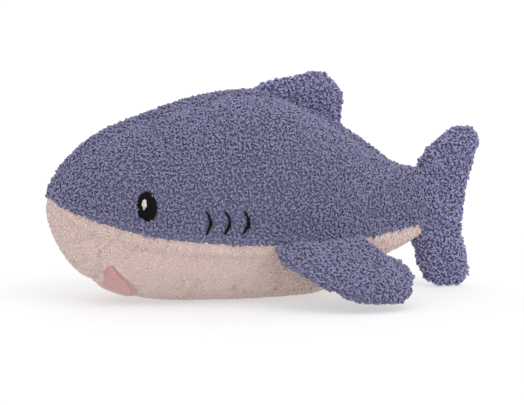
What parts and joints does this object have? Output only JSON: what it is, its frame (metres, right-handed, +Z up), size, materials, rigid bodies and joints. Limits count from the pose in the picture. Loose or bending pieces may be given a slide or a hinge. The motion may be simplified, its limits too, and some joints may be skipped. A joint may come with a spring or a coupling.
{
  "type": "plush shark toy",
  "caption": "Stuffed shark toy with a curly back, a short-pile belly, embroidered eyes and gills, and soft fins that bend at their seams.",
  "frame": {"origin": "on the floor under the middle of the bounding box of the toy at rest", "axes": "+Z up, -Y out of the nose and +Y out of the tail, +X to the shark's own left side"},
  "size_m": [0.1926, 0.2754, 0.1372],
  "materials": {
    "curly_fabric": "curly grey-blue plush pile",
    "belly_fabric": "short cream pile",
    "mouth_fabric": "smooth pink fabric",
    "dark_thread": "black satin-stitch thread",
    "white_thread": "off-white satin-stitch thread",
    "stuffing": "loose polyester filling"
  },
  "bodies": {
    "body": {"back_panel_left": "curly_fabric", "back_panel_right": "curly_fabric", "belly_panel": "belly_fabric", "mouth_patch": "mouth_fabric", "eye_left": "dark_thread", "eye_right": "dark_thread", "eye_highlight_left": "white_thread", "eye_highlight_right": "white_thread", "gill_stitches_left": "dark_thread", "gill_stitches_right": "dark_thread", "body_stuffing": "stuffing"},
    "dorsal_fin": {"dorsal_panel_left": "curly_fabric", "dorsal_panel_right": "curly_fabric", "dorsal_stuffing": "stuffing"},
    "pectoral_fin_left": {"pectoral_left_upper": "curly_fabric", "pectoral_left_lower": "curly_fabric", "pectoral_left_stuffing": "stuffing"},
    "pectoral_fin_right": {"pectoral_right_upper": "curly_fabric", "pectoral_right_lower": "curly_fabric", "pectoral_right_stuffing": "stuffing"},
    "tail_fin": {"tail_panel_left": "curly_fabric", "tail_panel_right": "curly_fabric", "tail_stuffing": "stuffing"}
  },
  "joints": [
    {"name": "tail_wag", "type": "hinge", "parent": "body", "child": "tail_fin", "pos_m": [0, 0.105, 0.056], "axis": [0, 0, 1], "range_deg": [-35, 35], "stiffness_Nm_per_rad": 0.08},
    {"name": "dorsal_flop", "type": "hinge", "parent": "body", "child": "dorsal_fin", "pos_m": [0, 0.02025, 0.1201], "axis": [0, 0.9272, -0.3745], "range_deg": [-20, 20], "stiffness_Nm_per_rad": 0.03},
    {"name": "pectoral_left_flap", "type": "hinge", "parent": "body", "child": "pectoral_fin_left", "pos_m": [0.05281, 0.01915, 0.03365], "axis": [0.3119, -0.9501, 0], "range_deg": [-5, 50], "stiffness_Nm_per_rad": 0.06},
    {"name": "pectoral_right_flap", "type": "hinge", "parent": "body", "child": "pectoral_fin_right", "pos_m": [-0.05281, 0.01915, 0.03365], "axis": [0.3119, 0.9501, 0], "range_deg": [-5, 50], "stiffness_Nm_per_rad": 0.06}
  ]
}
